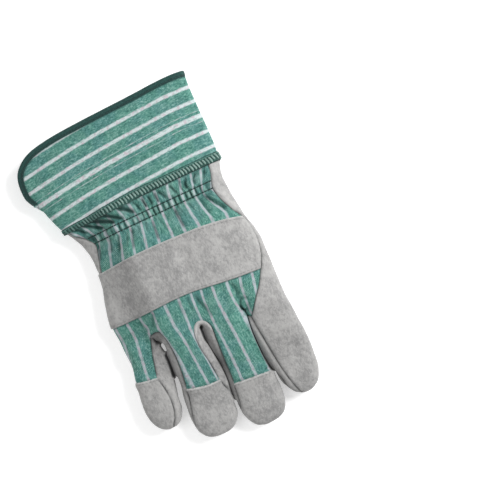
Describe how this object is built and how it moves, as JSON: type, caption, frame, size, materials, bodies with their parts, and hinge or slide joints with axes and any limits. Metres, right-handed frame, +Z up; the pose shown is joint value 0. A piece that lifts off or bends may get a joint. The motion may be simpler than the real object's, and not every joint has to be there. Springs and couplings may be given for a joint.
{
  "type": "work glove",
  "caption": "Right-hand work glove: split leather palm, striped canvas back, knuckle strap and a stiff open safety cuff, lying palm down with its thumb folded under.",
  "frame": {"origin": "on the surface that the glove lies on, below the middle of its outline", "axes": "+Y from the cuff towards the fingertips, +X towards the little finger, +Z up, out of the back of the hand"},
  "size_m": [0.1526, 0.2734, 0.0393],
  "materials": {
    "split_leather": "matt grey suede nap",
    "striped_canvas": "teal twill with pale stripes",
    "binding_tape": "dark green woven tape",
    "overlock_thread": "dark green thread over teal canvas",
    "elastic_web": "white ribbed elastic"
  },
  "bodies": {
    "root": {"knuckle_strap": "split_leather", "little_tip_cap": "split_leather", "ring_tip_cap": "split_leather", "middle_tip_cap": "split_leather", "palm_leather": "split_leather", "index_finger_leather": "split_leather", "index_finger_side": "split_leather", "middle_finger_leather": "split_leather", "ring_finger_leather": "split_leather", "little_finger_leather": "split_leather", "thumb_leather": "split_leather", "palm_welt": "split_leather", "crotch_welt": "split_leather", "back_canvas": "striped_canvas", "cuff_canvas": "striped_canvas", "cuff_binding": "binding_tape", "wrist_seam": "overlock_thread", "wrist_elastic": "elastic_web"}
  },
  "joints": []
}
